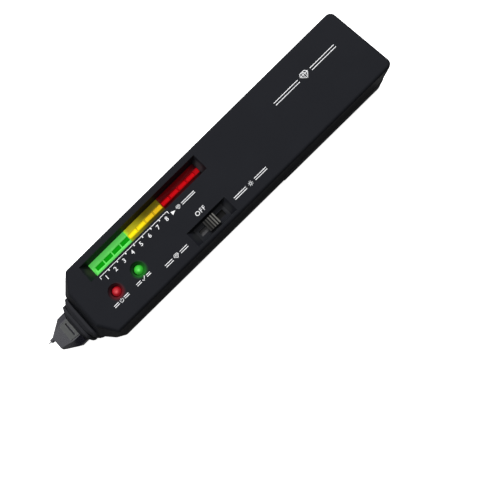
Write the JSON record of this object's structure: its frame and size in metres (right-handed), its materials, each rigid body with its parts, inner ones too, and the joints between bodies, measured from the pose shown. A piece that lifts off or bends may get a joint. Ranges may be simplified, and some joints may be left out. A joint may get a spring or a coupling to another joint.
{
  "type": "diamond tester",
  "caption": "Hand-held gem tester: slim two-part case with a sprung needle in a tapered nose, a coloured bar display, two lamps, a slide switch and a battery door.",
  "frame": {"origin": "on the resting plane of the back, under the middle of the bounding box", "axes": "+X from the needle tip to the butt end, +Y towards the side with the bar display, +Z out of the face"},
  "size_m": [0.168, 0.0316, 0.0215],
  "materials": {
    "charcoal_plastic": "fine-textured charcoal ABS",
    "back_plastic": "fine-textured black ABS",
    "door_plastic": "fine-textured black ABS",
    "case_screw_steel": "zinc-plated steel",
    "nose_plastic": "satin grey plastic",
    "plate_plastic": "satin light grey plastic",
    "collar_rubber": "black rubber",
    "needle_steel": "bright steel needle",
    "barrel_brass": "turned brass",
    "spring_steel": "spring steel wire",
    "plug_nylon": "natural nylon",
    "uv_lens": "clear violet epoxy",
    "probe_wire": "red wire insulation",
    "uv_wire": "white wire insulation",
    "bar_green": "bright green light bar",
    "bar_yellow": "olive yellow light bar",
    "bar_red": "deep red light bar",
    "emitter_white": "white emitter strip",
    "lamp_red": "red diffused lens",
    "lamp_green": "green diffused lens",
    "knob_plastic": "satin black acetal",
    "switch_tin": "tinned steel shell",
    "board_green": "green solder resist",
    "board_screw_steel": "zinc-plated steel",
    "chip_black": "black epoxy package",
    "capacitor_sleeve": "blue printed sleeve",
    "sounder_black": "black moulded case",
    "battery_label": null,
    "contact_nickel": "nickel-plated stud",
    "snap_vinyl": "black vinyl",
    "battery_red_wire": "red wire insulation",
    "battery_black_wire": "black wire insulation",
    "pad_foam": "grey foam",
    "segment_green": "coloured light window",
    "segment_yellow": "coloured light window",
    "segment_red": "coloured light window"
  },
  "bodies": {
    "housing": {"front_shell": "charcoal_plastic", "rear_shell": "back_plastic", "case_screw_front": "case_screw_steel", "case_screw_rear": "case_screw_steel", "nose_shroud": "nose_plastic", "nose_plate": "plate_plastic", "nose_collar": "collar_rubber", "probe_barrel": "barrel_brass", "probe_spring": "spring_steel", "probe_plug": "plug_nylon", "uv_lamp": "uv_lens", "probe_lead_1": "probe_wire", "probe_lead_2": "probe_wire", "uv_lead_1": "uv_wire", "uv_lead_2": "uv_wire", "bar_green": "bar_green", "bar_yellow": "bar_yellow", "bar_red": "bar_red", "display_leds": "emitter_white", "power_lamp": "lamp_red", "ready_lamp": "lamp_green", "switch_body": "switch_tin", "main_board": "board_green", "board_screw_1": "board_screw_steel", "board_screw_2": "board_screw_steel", "board_screw_3": "board_screw_steel", "control_chip": "chip_black", "capacitor_front": "capacitor_sleeve", "capacitor_rear": "capacitor_sleeve", "sounder": "sounder_black", "battery": "battery_label", "contact_round": "contact_nickel", "contact_hex": "contact_nickel", "battery_snap": "snap_vinyl", "battery_lead_red": "battery_red_wire", "battery_lead_black": "battery_black_wire", "battery_pad": "pad_foam", "segment_green_1": "segment_green", "segment_green_2": "segment_green", "segment_green_3": "segment_green", "segment_green_4": "segment_green", "segment_yellow_1": "segment_yellow", "segment_yellow_2": "segment_yellow", "segment_yellow_3": "segment_yellow", "segment_yellow_4": "segment_yellow", "segment_red_1": "segment_red", "segment_red_2": "segment_red", "segment_red_3": "segment_red", "segment_red_4": "segment_red"},
    "switch": {"switch_knob": "knob_plastic"},
    "door": {"battery_door": "door_plastic"},
    "probe": {"probe_needle": "needle_steel"}
  },
  "joints": [
    {"name": "switch_slide", "type": "slide", "parent": "housing", "child": "switch", "axis": [1, 0, 0], "range_m": [-0.0043, 0.0043]},
    {"name": "door_slide", "type": "slide", "parent": "housing", "child": "door", "axis": [1, 0, 0], "range_m": [0, 0.06]},
    {"name": "needle_plunge", "type": "slide", "parent": "housing", "child": "probe", "axis": [1, 0, 0], "range_m": [0, 0.0015], "stiffness_N_per_m": 300, "springref_m": -0.001, "deforming": ["probe_spring"]}
  ]
}
